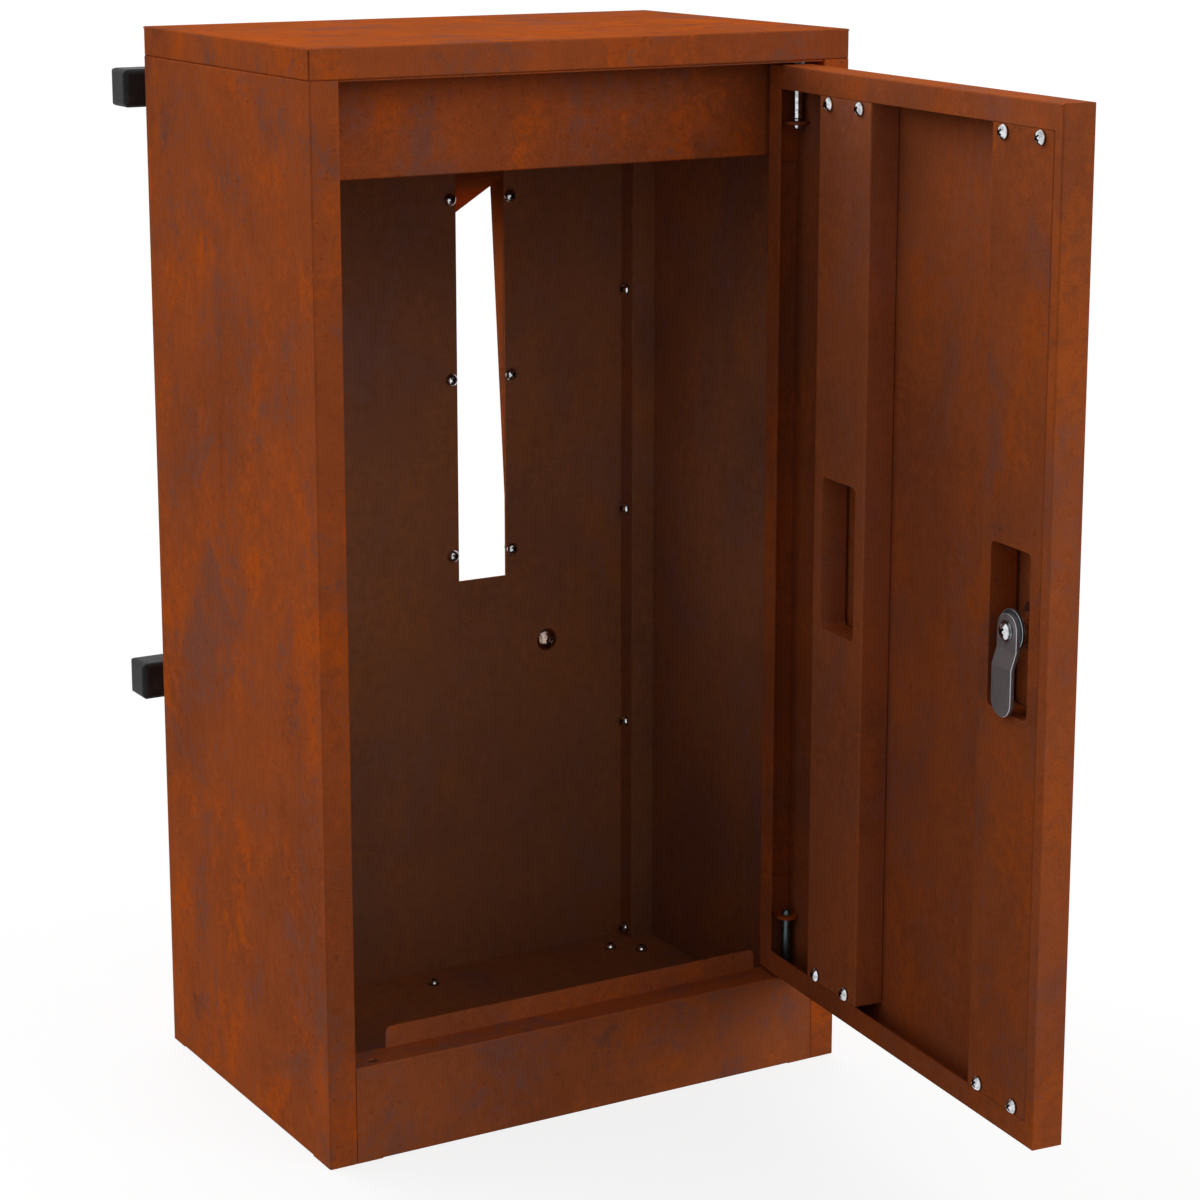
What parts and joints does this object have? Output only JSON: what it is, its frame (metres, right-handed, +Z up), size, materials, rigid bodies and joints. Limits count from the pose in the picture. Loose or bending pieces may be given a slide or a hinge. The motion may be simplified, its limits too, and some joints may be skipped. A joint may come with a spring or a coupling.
{
  "type": "fence letterbox cabinet",
  "caption": "Tall folded-sheet mailbox cabinet with a rust finish, rear letter slot and hood, fence clamp bars, and a hinged front door with a cam lock.",
  "frame": {"origin": "centre of the cabinet's base footprint, on the ground", "axes": "+X to the right seen from the door side, -Y towards the door side, +Z up; the door is stored open"},
  "size_m": [0.3, 0.5097, 0.55],
  "materials": {
    "rust_coat": "matte rust-patterned coat, mottled orange-brown and purple-grey, with fine speckle",
    "bright_screw": "bright plated steel",
    "clamp_steel": "plated steel, slightly warm",
    "lock_grey": "dark satin grey",
    "black_plastic": "matte black"
  },
  "bodies": {
    "cabinet": {"top_cap": "rust_coat", "left_side": "rust_coat", "right_side": "rust_coat", "header_rail": "rust_coat", "threshold": "rust_coat", "floor_panel": "rust_coat", "rear_panel": "rust_coat", "slot_hood": "rust_coat", "hood_screws": "bright_screw", "rear_panel_screws": "bright_screw", "floor_screws": "bright_screw", "upper_clamp_bar": "black_plastic", "lower_clamp_bar": "black_plastic", "clamp_bolts": "clamp_steel", "clamp_nuts": "clamp_steel"},
    "door": {"door_shell": "rust_coat", "hinge_stiffener": "rust_coat", "lock_stiffener": "rust_coat", "stiffener_screws": "bright_screw", "upper_hinge_bracket": "rust_coat", "lower_hinge_bracket": "rust_coat", "upper_hinge_pin": "bright_screw", "lower_hinge_pin": "lock_grey", "hinge_washers": "bright_screw", "lock_body": "bright_screw", "lock_nut": "bright_screw"},
    "lock_rotor": {"lock_plug": "bright_screw", "lock_stop_ring": "bright_screw", "lock_cam": "lock_grey", "cam_washer": "bright_screw", "cam_screw": "bright_screw"}
  },
  "joints": [
    {"name": "door_hinge", "type": "hinge", "parent": "cabinet", "child": "door", "pos_m": [0.123, -0.094, 0.2925], "axis": [0, 0, 1], "range_deg": [-85, 35]},
    {"name": "lock_turn", "type": "hinge", "parent": "door", "child": "lock_rotor", "pos_m": [0.10939, -0.31837, 0.2925], "axis": [-0.9962, 0.0872, 0], "range_deg": [0, 90]}
  ]
}
